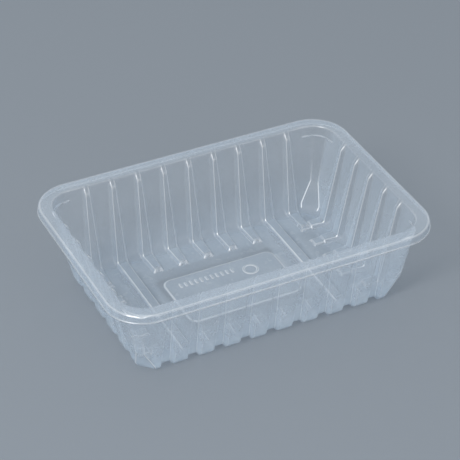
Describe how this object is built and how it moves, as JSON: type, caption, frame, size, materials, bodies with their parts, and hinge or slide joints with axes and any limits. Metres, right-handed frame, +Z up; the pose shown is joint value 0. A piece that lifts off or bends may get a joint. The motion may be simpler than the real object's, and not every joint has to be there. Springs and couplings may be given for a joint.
{
  "type": "plastic food tray",
  "caption": "One-piece formed plastic food tray with a flat rim, a turned-down lip, tapering ribbed walls, a ribbed floor and a raised panel in the floor.",
  "frame": {"origin": "under the middle of the floor, on the surface the tray stands on", "axes": "+X along the tray's length, +Y across its width, +Z up towards the rim"},
  "size_m": [0.19, 0.13, 0.052],
  "materials": {
    "frosted_plastic": "semi-gloss, translucent"
  },
  "bodies": {
    "root": {"tray": "frosted_plastic"}
  },
  "joints": []
}
